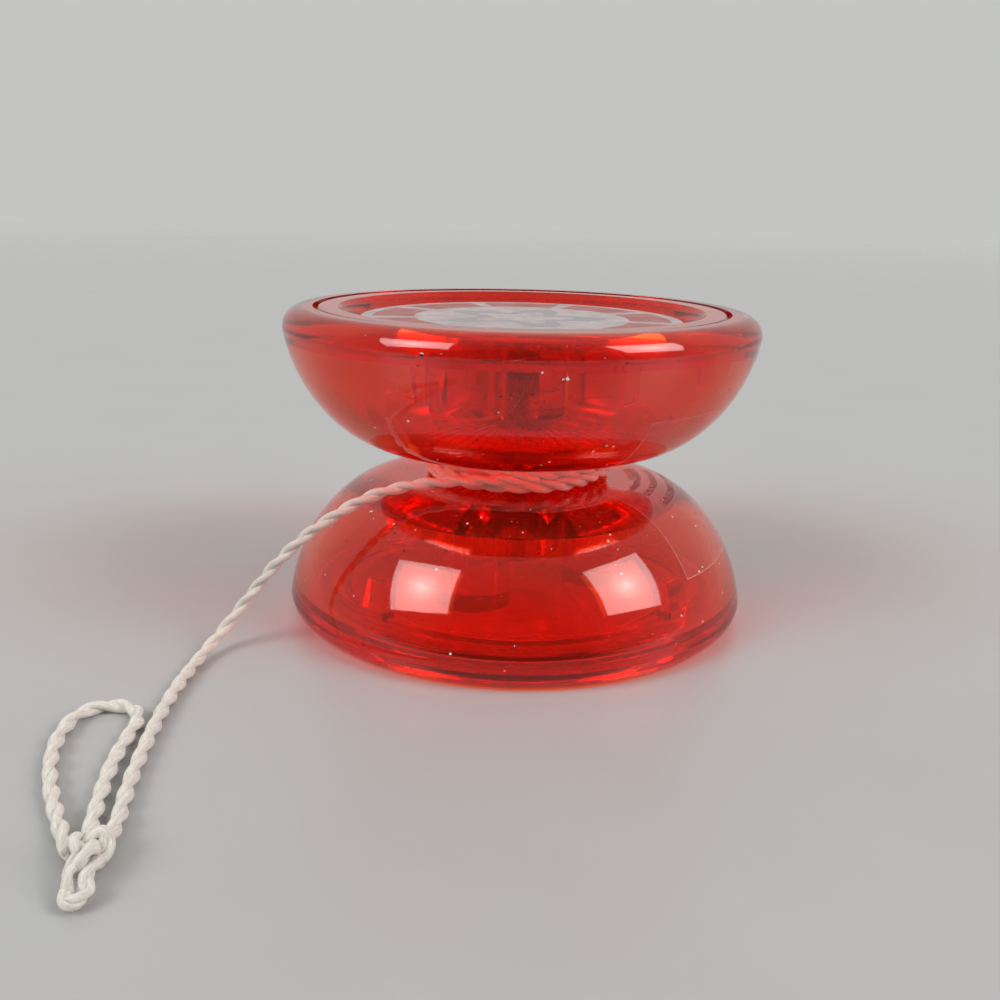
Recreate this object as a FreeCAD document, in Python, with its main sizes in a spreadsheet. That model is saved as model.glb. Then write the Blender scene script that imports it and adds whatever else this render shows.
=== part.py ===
"""A bearing yo-yo with its string, as a parametric FreeCAD document, in millimetres.

The yo-yo stands on the rim of its lower half. The origin is the centre of that rim's
plane, and +Z is the axle. Each half is drawn in its own frame: its origin is the middle
of the string gap and its +Z runs out along the axle, towards the half's cap.
"""

import FreeCAD, Part
import math
import os

import Sketcher

Vector = FreeCAD.Vector
UP = Vector(0, 0, 1)

doc = FreeCAD.newDocument("yo_yo")
dims = doc.addObject("Spreadsheet::Sheet", "dims")

DIMENSIONS = {
    # the outline of a half
    "body_radius": 29.0,          # widest circle, at the moulding's parting line
    "half_width": 19.0,           # middle of the gap to the top of the rim
    "lip_round": 2.4,             # rounding of the rim, from its top to the parting line
    "bowl_round": 19.0,           # radius of the bowl's outline
    "bowl_centre": 19.34,         # height of that outline's centre above the gap's middle
    "gap_half": 2.25,             # half of the string gap
    "gap_round": 12.0,            # rounding from the gap face into the bowl
    "wall": 2.05,                 # thickness of the bowl
    "floor_half": 5.3,            # inner floor of the bowl
    # the middle of a half
    "relief_radius": 4.6,         # hollow that keeps the half clear of the turning race
    "relief_half": 2.6,
    "seat_radius": 2.75,          # seat of the spacer
    "seat_half": 3.0,
    "axle_bore": 1.6,
    "boss_radius": 5.8,
    "boss_half": 12.0,
    "nut_floor": 8.5,             # bottom of the boss's hexagonal pocket
    # the seat of the cap
    "lip_bore": 25.35,
    "cap_seat_half": 17.1,
    "ledge_radius": 23.9,
    "ledge_half": 15.4,
    # moulded starburst ribs on the gap face
    "rib_start": 5.4,
    "rib_end": 11.5,
    "rib_width": 0.35,
    "rib_rise": 0.15,
    "rib_count": 48,
    # fine rays moulded on the inner floor
    "ray_start": 6.4,
    "ray_end": 17.2,
    "ray_width": 0.3,
    "ray_rise": 0.12,
    "ray_count": 80,
    # the snap-in cap
    "cap_radius": 24.95,
    "cap_half": 18.9,             # height of the cap's flat ring
    "cap_bevel": 0.3,
    "dish_radius": 22.4,          # inner edge of the flat ring
    "dish_floor_radius": 21.3,
    "dish_half": 17.5,            # floor of the dish
    "cap_wall": 1.5,
    "skirt_outer": 23.7,
    "skirt_inner": 22.5,
    "skirt_half": 14.9,
    "tab_width": 3.2,
    "tab_half": 11.0,
    "tab_barb": 0.75,
    "tab_barb_height": 1.2,
    "tab_inset": 0.1,             # by which a tab stands back from the skirt's faces
    "tab_tip": 0.8,               # thickness of a tab at its tip
    "tab_count": 4,
    "post_circle": 10.6,
    "post_radius": 4.5,
    "post_bore": 2.6,
    "post_half": 7.2,
    "post_bore_end": 14.0,
    "post_turn": 18.0,            # degrees from a snap tab to a post
    "post_count": 3,
    "decal_radius": 19.7,
    "decal_thickness": 0.15,
    # the clear label on the bowl
    "label_thickness": 0.07,
    "label_start": 14.2,
    "label_half": 9.5,
    "label_span": 62.0,
    # axle, nuts and spacers
    "axle_radius": 1.5,
    "axle_half_length": 10.9,
    "axle_chamfer": 0.3,
    "nut_flats": 5.5,
    "nut_height": 1.8,
    "nut_bore": 1.54,
    "nut_play": 0.05,
    "spacer_radius": 2.6,
    "spacer_bore": 1.56,
    "spacer_play": 0.03,
    # the ball bearing
    "bearing_half": 2.0,
    "inner_race_bore": 1.53,
    "inner_race_radius": 2.25,
    "outer_race_bore": 3.35,
    "outer_race_radius": 4.0,
    "ball_circle": 2.8,
    "ball_radius": 0.75,
    "race_groove": 0.79,
    "ball_count": 7,
    "cage_inner": 2.5,
    "cage_outer": 3.1,
    "cage_half": 1.15,
    "cage_pocket": 0.78,
    "cage_floor": 0.85,           # from the balls' plane to the bottom of a pocket
    "shield_inner": 2.36,
    "shield_outer": 3.6,
    "shield_thickness": 0.2,
    "shield_inset": 0.1,
    # the string
    "string_diameter": 1.4,
    "winding_radius": 11.8,
    "winding_bore": 4.0,
    "winding_half": 1.8,
    "winding_round": 0.9,
    "knot_length": 7.0,
    "knot_width": 4.0,
    "knot_height": 3.4,
}
for row, (alias, number) in enumerate(DIMENSIONS.items(), start=1):
    dims.set(f"A{row}", alias)
    dims.set(f"B{row}", str(number))
    dims.setAlias(f"B{row}", alias)
doc.recompute()

# widest radius of the bowl's outline, seen from that outline's own centre
BOWL_CENTRE_R = (
    "(dims.body_radius - sqrt(dims.bowl_round ^ 2"
    " - (dims.half_width - dims.lip_round - dims.bowl_centre) ^ 2))"
)
# the rounding at the gap: its reach from the bowl's outline in radius and in height
ROUND_REACH = "(dims.bowl_round - dims.gap_round)"
ROUND_DROP = "(dims.bowl_centre - dims.gap_half - dims.gap_round)"
ROUND_OUT = f"sqrt({ROUND_REACH} ^ 2 - {ROUND_DROP} ^ 2)"
# how far each half, and its clear label, is turned about the axle, in degrees
LOWER_TURN = 140.0
UPPER_TURN = -23.0
LOWER_LABEL_TURN = 20.0
UPPER_LABEL_TURN = -58.0

# The free string, from inside the winding, over the lower half and down to the floor.
TAIL_ROUTE = [
    (2.5, -10.8, 18.9),
    (-3.0, -11.7, 18.9),
    (-8.0, -12.1, 18.8),
    (-12.6, -13.5, 18.5),
    (-16.6, -15.2, 17.7),
    (-20.2, -16.4, 15.9),
    (-23.6, -17.2, 13.6),
    (-26.9, -17.4, 10.4),
    (-29.8, -17.3, 6.9),
    (-32.2, -17.9, 3.7),
    (-34.0, -19.9, 1.4),
    (-34.9, -24.0, 0.7),
    (-35.1, -29.0, 0.7),
    (-34.9, -34.6, 0.7),
    (-34.4, -40.4, 0.7),
    (-33.6, -46.4, 0.7),
    (-32.6, -52.0, 0.7),
    (-31.6, -56.0, 1.0),
    (-31.3, -58.8, 1.5),
]

# The finger loop, from the knot round and back into it.
LOOP_ROUTE = [
    (-33.0, -58.0, 1.2),
    (-34.1, -54.4, 0.8),
    (-35.2, -49.9, 0.7),
    (-36.0, -45.3, 0.7),
    (-36.3, -41.0, 0.7),
    (-36.5, -37.0, 0.7),
    (-38.4, -35.1, 0.7),
    (-41.0, -35.1, 0.7),
    (-42.9, -37.0, 0.7),
    (-42.9, -41.0, 0.7),
    (-41.8, -45.4, 0.7),
    (-39.9, -49.6, 0.7),
    (-37.6, -53.6, 0.7),
    (-35.4, -57.2, 0.9),
    (-33.6, -60.0, 1.3),
]
KNOT_CENTRE = (-32.1, -60.6, 1.7)
KNOT_TURN = 6.0


# ---------------------------------------------------------------- drawing helpers

def number(expression):
    """The value of an expression of the sheet's aliases."""
    return float(dims.evalExpression(expression))


def bowl_radius_at(height, offset="0"):
    """Radius of the bowl's outline at a height, moved inward by offset."""
    return (
        f"({BOWL_CENTRE_R} + sqrt((dims.bowl_round - {offset}) ^ 2"
        f" - (dims.bowl_centre - {height}) ^ 2))"
    )


def gap_rounding(skin="0"):
    """Both ends of the rounding at the gap, on an outline moved outward by skin."""
    along_bowl = f"(dims.bowl_round + {skin}) / {ROUND_REACH}"
    return (
        (f"{BOWL_CENTRE_R} + {ROUND_OUT}", f"dims.gap_half - {skin}"),
        (f"{BOWL_CENTRE_R} + {along_bowl} * {ROUND_OUT}",
         f"dims.bowl_centre - {along_bowl} * {ROUND_DROP}"),
    )


def new_body(label):
    body = doc.addObject("PartDesign::Body", label)
    body.Label = label
    return body


def new_sketch(body, name, plane="XZ_Plane", raised_by=None):
    """A sketch on one of the body's own origin planes, raised along its normal."""
    sketch = body.newObject("Sketcher::SketchObject", name)
    support = [item for item in body.Origin.OriginFeatures if item.Role == plane][0]
    sketch.AttachmentSupport = [(support, "")]
    sketch.MapMode = "FlatFace"
    if raised_by:
        sketch.setExpression("AttachmentOffset.Base.z", raised_by)
    return sketch


def bind(sketch, constraint, expression):
    """Adds a constraint whose value follows an expression."""
    index = sketch.addConstraint(constraint)
    sketch.setExpression(f"Constraints[{index}]", expression)


def pin_point(sketch, edge, end, across, along):
    """Holds one end of an edge at a place given by two expressions."""
    for kind, expression, axis in (("DistanceX", across, -2), ("DistanceY", along, -1)):
        value = number(expression)
        if abs(value) < 1e-9:
            sketch.addConstraint(Sketcher.Constraint("PointOnObject", edge, end, axis))
        else:
            bind(sketch, Sketcher.Constraint(kind, -1, 1, edge, end, value), expression)


def draw_outline(sketch, corners):
    """A closed outline. A corner is (across, along) or (across, along, radius), where the
    radius rounds the edge to the next corner: to the right of the way if positive."""
    places = [Vector(number(corner[0]), number(corner[1]), 0) for corner in corners]
    edges = []
    for i, corner in enumerate(corners):
        start, end = places[i], places[(i + 1) % len(corners)]
        if len(corner) == 2:
            edge = sketch.addGeometry(Part.LineSegment(start, end), False)
            edges.append((edge, 1, 2))
            continue
        radius = number(corner[2].lstrip("-"))
        side = -1.0 if corner[2].startswith("-") else 1.0
        chord = end - start
        bulge = Vector(chord.y, -chord.x, 0).normalize() * side
        centre_drop = math.sqrt(radius ** 2 - chord.Length ** 2 / 4)
        centre = (start + end) * 0.5 - bulge * centre_drop
        middle = centre + bulge * radius
        edge = sketch.addGeometry(Part.Arc(start, middle, end), False)
        bind(sketch, Sketcher.Constraint("Radius", edge, radius), corner[2].lstrip("-"))
        first = sketch.getPoint(edge, 1)
        starts_first = (first - start).Length < (first - end).Length
        edges.append((edge, 1, 2) if starts_first else (edge, 2, 1))
    for i, corner in enumerate(corners):
        edge, start_end, finish_end = edges[i]
        following, next_start, _ = edges[(i + 1) % len(corners)]
        sketch.addConstraint(
            Sketcher.Constraint("Coincident", edge, finish_end, following, next_start)
        )
        pin_point(sketch, edge, start_end, corner[0], corner[1])


def draw_circle(sketch, across, along, radius):
    """A circle whose centre and radius follow expressions."""
    centre = Vector(number(across), number(along), 0)
    circle = sketch.addGeometry(Part.Circle(centre, UP, number(radius)), False)
    pin_point(sketch, circle, 3, across, along)
    bind(sketch, Sketcher.Constraint("Radius", circle, number(radius)), radius)


def revolve(body, name, corners, angle=None):
    """The outline drawn by corners, turned about the body's Z axis."""
    sketch = new_sketch(body, name + "_outline")
    draw_outline(sketch, corners)
    feature = body.newObject("PartDesign::Revolution", name)
    feature.Profile = sketch
    feature.ReferenceAxis = (sketch, ["V_Axis"])
    feature.Angle = 360.0
    if angle:
        feature.setExpression("Angle", angle)
    sketch.Visibility = False
    return feature


def extrude(body, name, kind, raised_by, height, draw, reverse=False):
    """A Pad or Pocket from a sketch parallel to the XY plane."""
    sketch = new_sketch(body, name + "_outline", "XY_Plane", raised_by)
    draw(sketch)
    feature = body.newObject("PartDesign::" + kind, name)
    feature.Profile = sketch
    feature.Reversed = reverse
    feature.setExpression("Length", height)
    sketch.Visibility = False
    return feature


def repeat_about_axle(body, name, features, count):
    """Copies features evenly about the body's Z axis."""
    pattern = body.newObject("PartDesign::PolarPattern", name)
    axis = [item for item in body.Origin.OriginFeatures if item.Role == "Z_Axis"][0]
    pattern.Originals = features
    pattern.Axis = (axis, [""])
    pattern.Angle = 360.0
    pattern.setExpression("Occurrences", count)
    body.Tip = pattern
    return pattern


def rectangle(across_from, across_to, along_from, along_to):
    """The corners of an upright rectangle."""
    return [
        (across_from, along_from),
        (across_to, along_from),
        (across_to, along_to),
        (across_from, along_to),
    ]


def hexagon(flats):
    """The corners of a hexagon, given its size across the flats."""
    reach = f"({flats}) / 2 / cos(30 deg)"
    corners = []
    for i in range(6):
        turn = f"{30 + 60 * i} deg"
        corners.append((f"{reach} * cos({turn})", f"{reach} * sin({turn})"))
    return corners


def place_on_axle(thing, upper, turn=0.0, raised_by="0"):
    """Puts a piece drawn in a half's frame on the upper or the lower half."""
    about_axle = FreeCAD.Rotation(UP, turn)
    flip = FreeCAD.Rotation() if upper else FreeCAD.Rotation(Vector(1, 0, 0), 180)
    thing.Placement = FreeCAD.Placement(Vector(0, 0, 0), about_axle * flip)
    outward = "+" if upper else "-"
    thing.setExpression("Placement.Base.z", f"dims.half_width {outward} {raised_by}")


# ---------------------------------------------------------------- the two halves

def half_shell(label, upper, turn):
    """The moulded bowl with its rim, hub boss, cap seat and starburst ribs."""
    body = new_body(label)
    face_end, round_end = gap_rounding()
    floor = "dims.floor_half"
    widest = "dims.half_width - dims.lip_round"
    revolve(body, label + "_bowl", [
        ("dims.relief_radius", "dims.gap_half"),
        (*face_end, "dims.gap_round"),
        (*round_end, "dims.bowl_round"),
        ("dims.body_radius", widest, "dims.lip_round"),
        ("dims.body_radius - dims.lip_round", "dims.half_width"),
        ("dims.lip_bore", "dims.half_width"),
        ("dims.lip_bore", "dims.cap_seat_half"),
        ("dims.ledge_radius", "dims.cap_seat_half"),
        ("dims.ledge_radius", "dims.ledge_half"),
        (bowl_radius_at("dims.ledge_half", "dims.wall"), "dims.ledge_half",
         "-(dims.bowl_round - dims.wall)"),
        (bowl_radius_at(floor, "dims.wall"), floor),
        ("dims.boss_radius", floor),
        ("dims.boss_radius", "dims.boss_half"),
        ("dims.axle_bore", "dims.boss_half"),
        ("dims.axle_bore", "dims.seat_half"),
        ("dims.seat_radius", "dims.seat_half"),
        ("dims.seat_radius", "dims.relief_half"),
        ("dims.relief_radius", "dims.relief_half"),
    ])
    doc.recompute()
    pocket_depth = "dims.boss_half - dims.nut_floor"
    extrude(body, label + "_nut_pocket", "Pocket", "dims.nut_floor", pocket_depth,
            lambda sketch: draw_outline(sketch, hexagon("dims.nut_flats + 2 * dims.nut_play")),
            reverse=True)
    rib = extrude(body, label + "_rib", "Pad", "dims.gap_half - dims.rib_rise",
                  "dims.rib_rise + dims.wall / 2",
                  lambda sketch: draw_outline(sketch, rectangle(
                      "dims.rib_start", "dims.rib_end",
                      "-dims.rib_width / 2", "dims.rib_width / 2")))
    doc.recompute()
    repeat_about_axle(body, label + "_ribs", [rib], "dims.rib_count")
    doc.recompute()
    ray = extrude(body, label + "_ray", "Pad", "dims.floor_half - dims.wall / 2",
                  "dims.wall / 2 + dims.ray_rise",
                  lambda sketch: draw_outline(sketch, rectangle(
                      "dims.ray_start", "dims.ray_end",
                      "-dims.ray_width / 2", "dims.ray_width / 2")))
    doc.recompute()
    repeat_about_axle(body, label + "_rays", [ray], "dims.ray_count")
    place_on_axle(body, upper, turn)
    return body


def side_cap(label, upper, turn):
    """The snap-in cap: flat ring, dished face, skirt, snap tabs and hollow posts."""
    body = new_body(label)
    underside = "(dims.dish_half - dims.cap_wall)"
    revolve(body, label + "_dish", [
        ("0", "dims.dish_half"),
        ("0", underside),
        ("dims.skirt_inner", underside),
        ("dims.skirt_inner", "dims.skirt_half"),
        ("dims.skirt_outer", "dims.skirt_half"),
        ("dims.skirt_outer", "dims.cap_seat_half"),
        ("dims.cap_radius", "dims.cap_seat_half"),
        ("dims.cap_radius", "dims.cap_half - dims.cap_bevel"),
        ("dims.cap_radius - dims.cap_bevel", "dims.cap_half"),
        ("dims.dish_radius", "dims.cap_half"),
        ("dims.dish_floor_radius", "dims.dish_half"),
    ])
    doc.recompute()

    tab_sketch = new_sketch(body, label + "_tab_outline")
    barb_top = "(dims.ledge_half - dims.tab_inset)"
    barb_reach = "dims.skirt_outer + dims.tab_barb"
    draw_outline(tab_sketch, [
        ("dims.skirt_inner + dims.tab_inset", "dims.ledge_half"),
        ("dims.skirt_inner + dims.tab_inset", "dims.tab_half"),
        ("dims.skirt_inner + dims.tab_inset + dims.tab_tip", "dims.tab_half"),
        (barb_reach, barb_top + " - dims.tab_barb_height"),
        (barb_reach, barb_top),
        ("dims.skirt_outer - dims.tab_inset", barb_top),
        ("dims.skirt_outer - dims.tab_inset", "dims.ledge_half"),
    ])
    tab = body.newObject("PartDesign::Pad", label + "_tab")
    tab.Profile = tab_sketch
    tab.Midplane = True
    tab.setExpression("Length", "dims.tab_width")
    tab_sketch.Visibility = False
    doc.recompute()
    repeat_about_axle(body, label + "_tabs", [tab], "dims.tab_count")
    doc.recompute()

    post_turn = "(dims.post_turn * 1 deg)"
    across = f"dims.post_circle * cos({post_turn})"
    along = f"dims.post_circle * sin({post_turn})"
    post = extrude(body, label + "_post", "Pad", "dims.post_half",
                   underside + " - dims.post_half + dims.cap_wall / 2",
                   lambda sketch: draw_circle(sketch, across, along, "dims.post_radius"))
    doc.recompute()
    bore = extrude(body, label + "_post_bore", "Pocket", "dims.post_half",
                   "dims.post_bore_end - dims.post_half",
                   lambda sketch: draw_circle(sketch, across, along, "dims.post_bore"),
                   reverse=True)
    doc.recompute()
    repeat_about_axle(body, label + "_posts", [post, bore], "dims.post_count")
    place_on_axle(body, upper, turn)
    return body


def decal(label, upper, turn):
    """The printed disc that lies on the floor of the cap's dish."""
    disc = doc.addObject("Part::Cylinder", label)
    disc.Label = label
    disc.setExpression("Radius", "dims.decal_radius")
    disc.setExpression("Height", "dims.decal_thickness")
    place_on_axle(disc, upper, turn, "dims.dish_half")
    return disc


def label_film(label, upper, turn):
    """The clear film stuck round part of the gap face's edge and the bowl."""
    body = new_body(label)
    skin = "dims.label_thickness"
    face_end, round_end = gap_rounding()
    skin_face_end, skin_round_end = gap_rounding(skin)
    revolve(body, label + "_strip", [
        ("dims.label_start", "dims.gap_half - dims.label_thickness"),
        (*skin_face_end, "(dims.gap_round + dims.label_thickness)"),
        (*skin_round_end, "(dims.bowl_round + dims.label_thickness)"),
        (bowl_radius_at("dims.label_half", f"(-{skin})"), "dims.label_half"),
        (bowl_radius_at("dims.label_half"), "dims.label_half", "-dims.bowl_round"),
        (*round_end, "-dims.gap_round"),
        face_end,
        ("dims.label_start", "dims.gap_half"),
    ], "dims.label_span")
    place_on_axle(body, upper, turn)
    return body


# ---------------------------------------------------------------- axle and bearing

def axle():
    """The threaded steel pin through both halves, with chamfered ends."""
    body = new_body("axle")
    end = "dims.axle_half_length"
    shoulder = "(dims.axle_half_length - dims.axle_chamfer)"
    tip = "dims.axle_radius - dims.axle_chamfer"
    revolve(body, "axle_pin", [
        ("0", "-" + end),
        (tip, "-" + end),
        ("dims.axle_radius", "-" + shoulder),
        ("dims.axle_radius", shoulder),
        (tip, end),
        ("0", end),
    ])
    place_on_axle(body, True)
    return body


def axle_nut(label, upper, turn):
    """A thin hexagon nut, held in the boss's pocket."""
    body = new_body(label)
    extrude(body, label + "_hexagon", "Pad", "dims.nut_floor", "dims.nut_height",
            lambda sketch: draw_outline(sketch, hexagon("dims.nut_flats")))
    doc.recompute()
    extrude(body, label + "_thread", "Pocket", "dims.nut_floor", "dims.nut_height",
            lambda sketch: draw_circle(sketch, "0", "0", "dims.nut_bore"), reverse=True)
    place_on_axle(body, upper, turn)
    return body


def spacer(label, upper):
    """The washer between the bearing's inner race and the half."""
    body = new_body(label)
    start = "(dims.bearing_half + dims.spacer_play)"
    revolve(body, label + "_ring", rectangle(
        "dims.spacer_bore", "dims.spacer_radius", start, "dims.seat_half - dims.spacer_play"))
    place_on_axle(body, upper)
    return body


def race_groove_mouth(wall):
    """Half the width of the ball groove where it meets a race's wall."""
    return f"sqrt(dims.race_groove ^ 2 - (dims.ball_circle - {wall}) ^ 2)"


def inner_race():
    """The inner race, clamped between the spacers, with its ball groove."""
    body = new_body("bearing_inner_race")
    mouth = race_groove_mouth("dims.inner_race_radius")
    revolve(body, "bearing_inner_race_ring", [
        ("dims.inner_race_bore", "-dims.bearing_half"),
        ("dims.inner_race_radius", "-dims.bearing_half"),
        ("dims.inner_race_radius", "-" + mouth, "-dims.race_groove"),
        ("dims.inner_race_radius", mouth),
        ("dims.inner_race_radius", "dims.bearing_half"),
        ("dims.inner_race_bore", "dims.bearing_half"),
    ])
    place_on_axle(body, True)
    return body


def outer_race():
    """The outer race, with a step at each end for its shield."""
    body = new_body("bearing_outer_race")
    mouth = race_groove_mouth("dims.outer_race_bore")
    step = "(dims.bearing_half - dims.shield_inset - dims.shield_thickness)"
    revolve(body, "bearing_outer_race_ring", [
        ("dims.shield_outer", "-dims.bearing_half"),
        ("dims.outer_race_radius", "-dims.bearing_half"),
        ("dims.outer_race_radius", "dims.bearing_half"),
        ("dims.shield_outer", "dims.bearing_half"),
        ("dims.shield_outer", step),
        ("dims.outer_race_bore", step),
        ("dims.outer_race_bore", mouth, "-dims.race_groove"),
        ("dims.outer_race_bore", "-" + mouth),
        ("dims.outer_race_bore", "-" + step),
        ("dims.shield_outer", "-" + step),
    ])
    place_on_axle(body, True)
    return body


def bearing_cage():
    """The crown-shaped ring that keeps the balls apart, with an open pocket for each."""
    body = new_body("bearing_cage")
    revolve(body, "bearing_cage_ring", rectangle(
        "dims.cage_inner", "dims.cage_outer", "-dims.cage_half", "dims.cage_half"))
    doc.recompute()
    pocket = extrude(body, "bearing_cage_pocket", "Pocket", "-dims.cage_floor",
                     "dims.cage_floor + dims.cage_half",
                     lambda sketch: draw_circle(sketch, "dims.ball_circle", "0",
                                                "dims.cage_pocket"),
                     reverse=True)
    doc.recompute()
    repeat_about_axle(body, "bearing_cage_pockets", [pocket], "dims.ball_count")
    place_on_axle(body, True)
    return body


def bearing_balls():
    """All the bearing's balls, as separate solids of one group."""
    balls = []
    for i in range(int(number("dims.ball_count"))):
        ball = doc.addObject("Part::Sphere", f"ball_{i + 1}")
        turn = f"360 deg * {i} / dims.ball_count"
        ball.setExpression("Radius", "dims.ball_radius")
        ball.setExpression("Placement.Base.x", f"dims.ball_circle * cos({turn})")
        ball.setExpression("Placement.Base.y", f"dims.ball_circle * sin({turn})")
        balls.append(ball)
    group = doc.addObject("Part::Compound", "bearing_balls")
    group.Label = "bearing_balls"
    group.Links = balls
    place_on_axle(group, True)
    return group


def shield(label, upper):
    """The thin steel disc that closes one end of the bearing."""
    body = new_body(label)
    start = "(dims.bearing_half - dims.shield_inset - dims.shield_thickness)"
    revolve(body, label + "_disc", rectangle(
        "dims.shield_inner", "dims.shield_outer", start, start + " + dims.shield_thickness"))
    place_on_axle(body, upper)
    return body


# ---------------------------------------------------------------- the string

def string_winding():
    """The wound string, as one solid ring on the bearing's outer race."""
    body = new_body("string_winding")
    shoulder = "dims.winding_radius - dims.winding_round"
    side = "dims.winding_half - dims.winding_round"
    revolve(body, "string_winding_ring", [
        ("dims.winding_bore", "-dims.winding_half"),
        (shoulder, "-dims.winding_half", "dims.winding_round"),
        ("dims.winding_radius", f"-({side})"),
        ("dims.winding_radius", side, "dims.winding_round"),
        (shoulder, "dims.winding_half"),
        ("dims.winding_bore", "dims.winding_half"),
    ])
    place_on_axle(body, True)
    return body


def string_tube(label, route):
    """A plain round tube along a route: straight runs joined by tangent arcs."""
    radius = number("dims.string_diameter") / 2
    points = [Vector(*point) for point in route]
    edges = []
    here = points[0]
    bends = []
    for before, corner, after in zip(points, points[1:], points[2:]):
        to_corner = (corner - before).normalize()
        from_corner = (after - corner).normalize()
        turn = to_corner.getAngle(from_corner)
        setback = 0.45 * min((corner - before).Length, (after - corner).Length)
        bends.append(setback / math.tan(turn / 2))
        arc_start = corner - to_corner * setback
        arc_end = corner + from_corner * setback
        towards_centre = (from_corner - to_corner).normalize()
        centre_reach = bends[-1] / math.cos(turn / 2)
        arc_middle = corner + towards_centre * (centre_reach - bends[-1])
        edges.append(Part.LineSegment(here, arc_start).toShape())
        edges.append(Part.Arc(arc_start, arc_middle, arc_end).toShape())
        here = arc_end
    edges.append(Part.LineSegment(here, points[-1]).toShape())
    path = Part.Wire(edges)
    first_way = (points[1] - points[0]).normalize()
    section = Part.Wire([Part.Circle(points[0], first_way, radius).toShape()])
    tube = doc.addObject("Part::Feature", label)
    tube.Label = label
    tube.Shape = path.makePipeShell([section], True, False, 2)
    expected = math.pi * radius ** 2 * path.Length
    print(label, "length", round(path.Length, 2), "smallest bend", round(min(bends), 2),
          "bends", [round(bend, 1) for bend in bends],
          "volume ratio", round(tube.Shape.Volume / expected, 4))
    return tube


def string_knot():
    """The overhand knot that closes the finger loop, with its short loose end."""
    lump = doc.addObject("Part::Ellipsoid", "string_knot")
    lump.setExpression("Radius1", "dims.knot_height / 2")
    lump.setExpression("Radius2", "dims.knot_width / 2")
    lump.setExpression("Radius3", "dims.knot_length / 2")
    lump.Label = "string_knot"
    along_string = FreeCAD.Rotation(UP, KNOT_TURN)
    lump.Placement = FreeCAD.Placement(Vector(*KNOT_CENTRE), along_string)
    return lump


# ---------------------------------------------------------------- the whole object

pieces = [
    half_shell("lower_half_shell", False, LOWER_TURN),
    half_shell("upper_half_shell", True, UPPER_TURN),
    side_cap("lower_cap", False, LOWER_TURN),
    side_cap("upper_cap", True, UPPER_TURN),
    decal("lower_decal", False, LOWER_TURN),
    decal("upper_decal", True, UPPER_TURN),
    label_film("lower_label", False, LOWER_LABEL_TURN),
    label_film("upper_label", True, UPPER_LABEL_TURN),
    axle(),
    axle_nut("lower_axle_nut", False, LOWER_TURN),
    axle_nut("upper_axle_nut", True, UPPER_TURN),
    spacer("lower_spacer", False),
    spacer("upper_spacer", True),
    inner_race(),
    outer_race(),
    bearing_cage(),
    bearing_balls(),
    shield("lower_shield", False),
    shield("upper_shield", True),
    string_winding(),
    string_tube("string_tail", TAIL_ROUTE),
    string_tube("finger_loop", LOOP_ROUTE),
    string_knot(),
]
doc.recompute()

for item in doc.Objects:
    if {"Invalid", "Error"} & set(item.State):
        raise RuntimeError(f"{item.Label} failed: {item.State}")
os.makedirs("parts", exist_ok=True)
for piece in pieces:
    shape = piece.Shape
    if shape.isNull() or not shape.isValid():
        raise RuntimeError(f"{piece.Label} has no valid shape")
    shape.exportStep(f"parts/{piece.Label}.step")
    box = shape.BoundBox
    print(f"{piece.Label:22s} volume {shape.Volume:9.2f}  x {box.XMin:6.2f} {box.XMax:6.2f}"
          f"  y {box.YMin:6.2f} {box.YMax:6.2f}  z {box.ZMin:6.2f} {box.ZMax:6.2f}"
          f"  solids {len(shape.Solids)}")
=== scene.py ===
"""Looks of a clear red yo-yo and its twisted cotton string, in metres, in the CAD frame."""
import math
import random

import bpy
import numpy as np
from mathutils import Euler, Matrix, Quaternion, Vector
from mathutils.bvhtree import BVHTree


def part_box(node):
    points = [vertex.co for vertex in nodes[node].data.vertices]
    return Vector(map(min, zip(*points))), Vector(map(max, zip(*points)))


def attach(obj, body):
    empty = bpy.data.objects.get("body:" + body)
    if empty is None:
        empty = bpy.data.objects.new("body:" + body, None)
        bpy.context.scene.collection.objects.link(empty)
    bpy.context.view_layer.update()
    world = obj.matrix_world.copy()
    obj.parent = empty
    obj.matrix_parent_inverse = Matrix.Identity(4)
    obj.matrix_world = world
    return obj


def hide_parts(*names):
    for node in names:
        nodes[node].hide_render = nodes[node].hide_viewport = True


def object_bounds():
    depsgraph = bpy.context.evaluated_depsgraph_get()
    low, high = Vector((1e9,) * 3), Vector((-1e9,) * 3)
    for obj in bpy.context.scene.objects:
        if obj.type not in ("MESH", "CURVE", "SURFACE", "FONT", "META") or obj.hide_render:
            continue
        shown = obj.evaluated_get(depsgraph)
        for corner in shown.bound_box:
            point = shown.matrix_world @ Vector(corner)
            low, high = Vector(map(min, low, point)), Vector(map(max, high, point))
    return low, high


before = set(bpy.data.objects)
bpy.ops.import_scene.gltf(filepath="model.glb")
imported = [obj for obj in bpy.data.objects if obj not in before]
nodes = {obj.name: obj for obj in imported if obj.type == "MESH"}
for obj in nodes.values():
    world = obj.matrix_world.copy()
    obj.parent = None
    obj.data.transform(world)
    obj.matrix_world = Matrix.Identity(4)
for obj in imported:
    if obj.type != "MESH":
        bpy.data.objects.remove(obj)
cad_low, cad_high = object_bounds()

MM = 0.001
LIP_DROP = 2.4 * MM              # from the rim to the widest circle of a half
POST_HALF = 7.2 * MM             # from the middle of the gap to the ends of the cap's posts
MATTE_TRANSMISSION = 0.3         # of the posts' ends, which are not polished

# ---------------------------------------------------------------- the camera

CAMERA_PLACE = Vector((0.0, -0.1264, 0.0501))
CAMERA_AIM = Vector((-0.00215, 0.0, 0.01311))
CAMERA_ROLL = math.radians(1.313)
LENS_MM = 36.51
SENSOR_MM = 36.0

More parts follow.
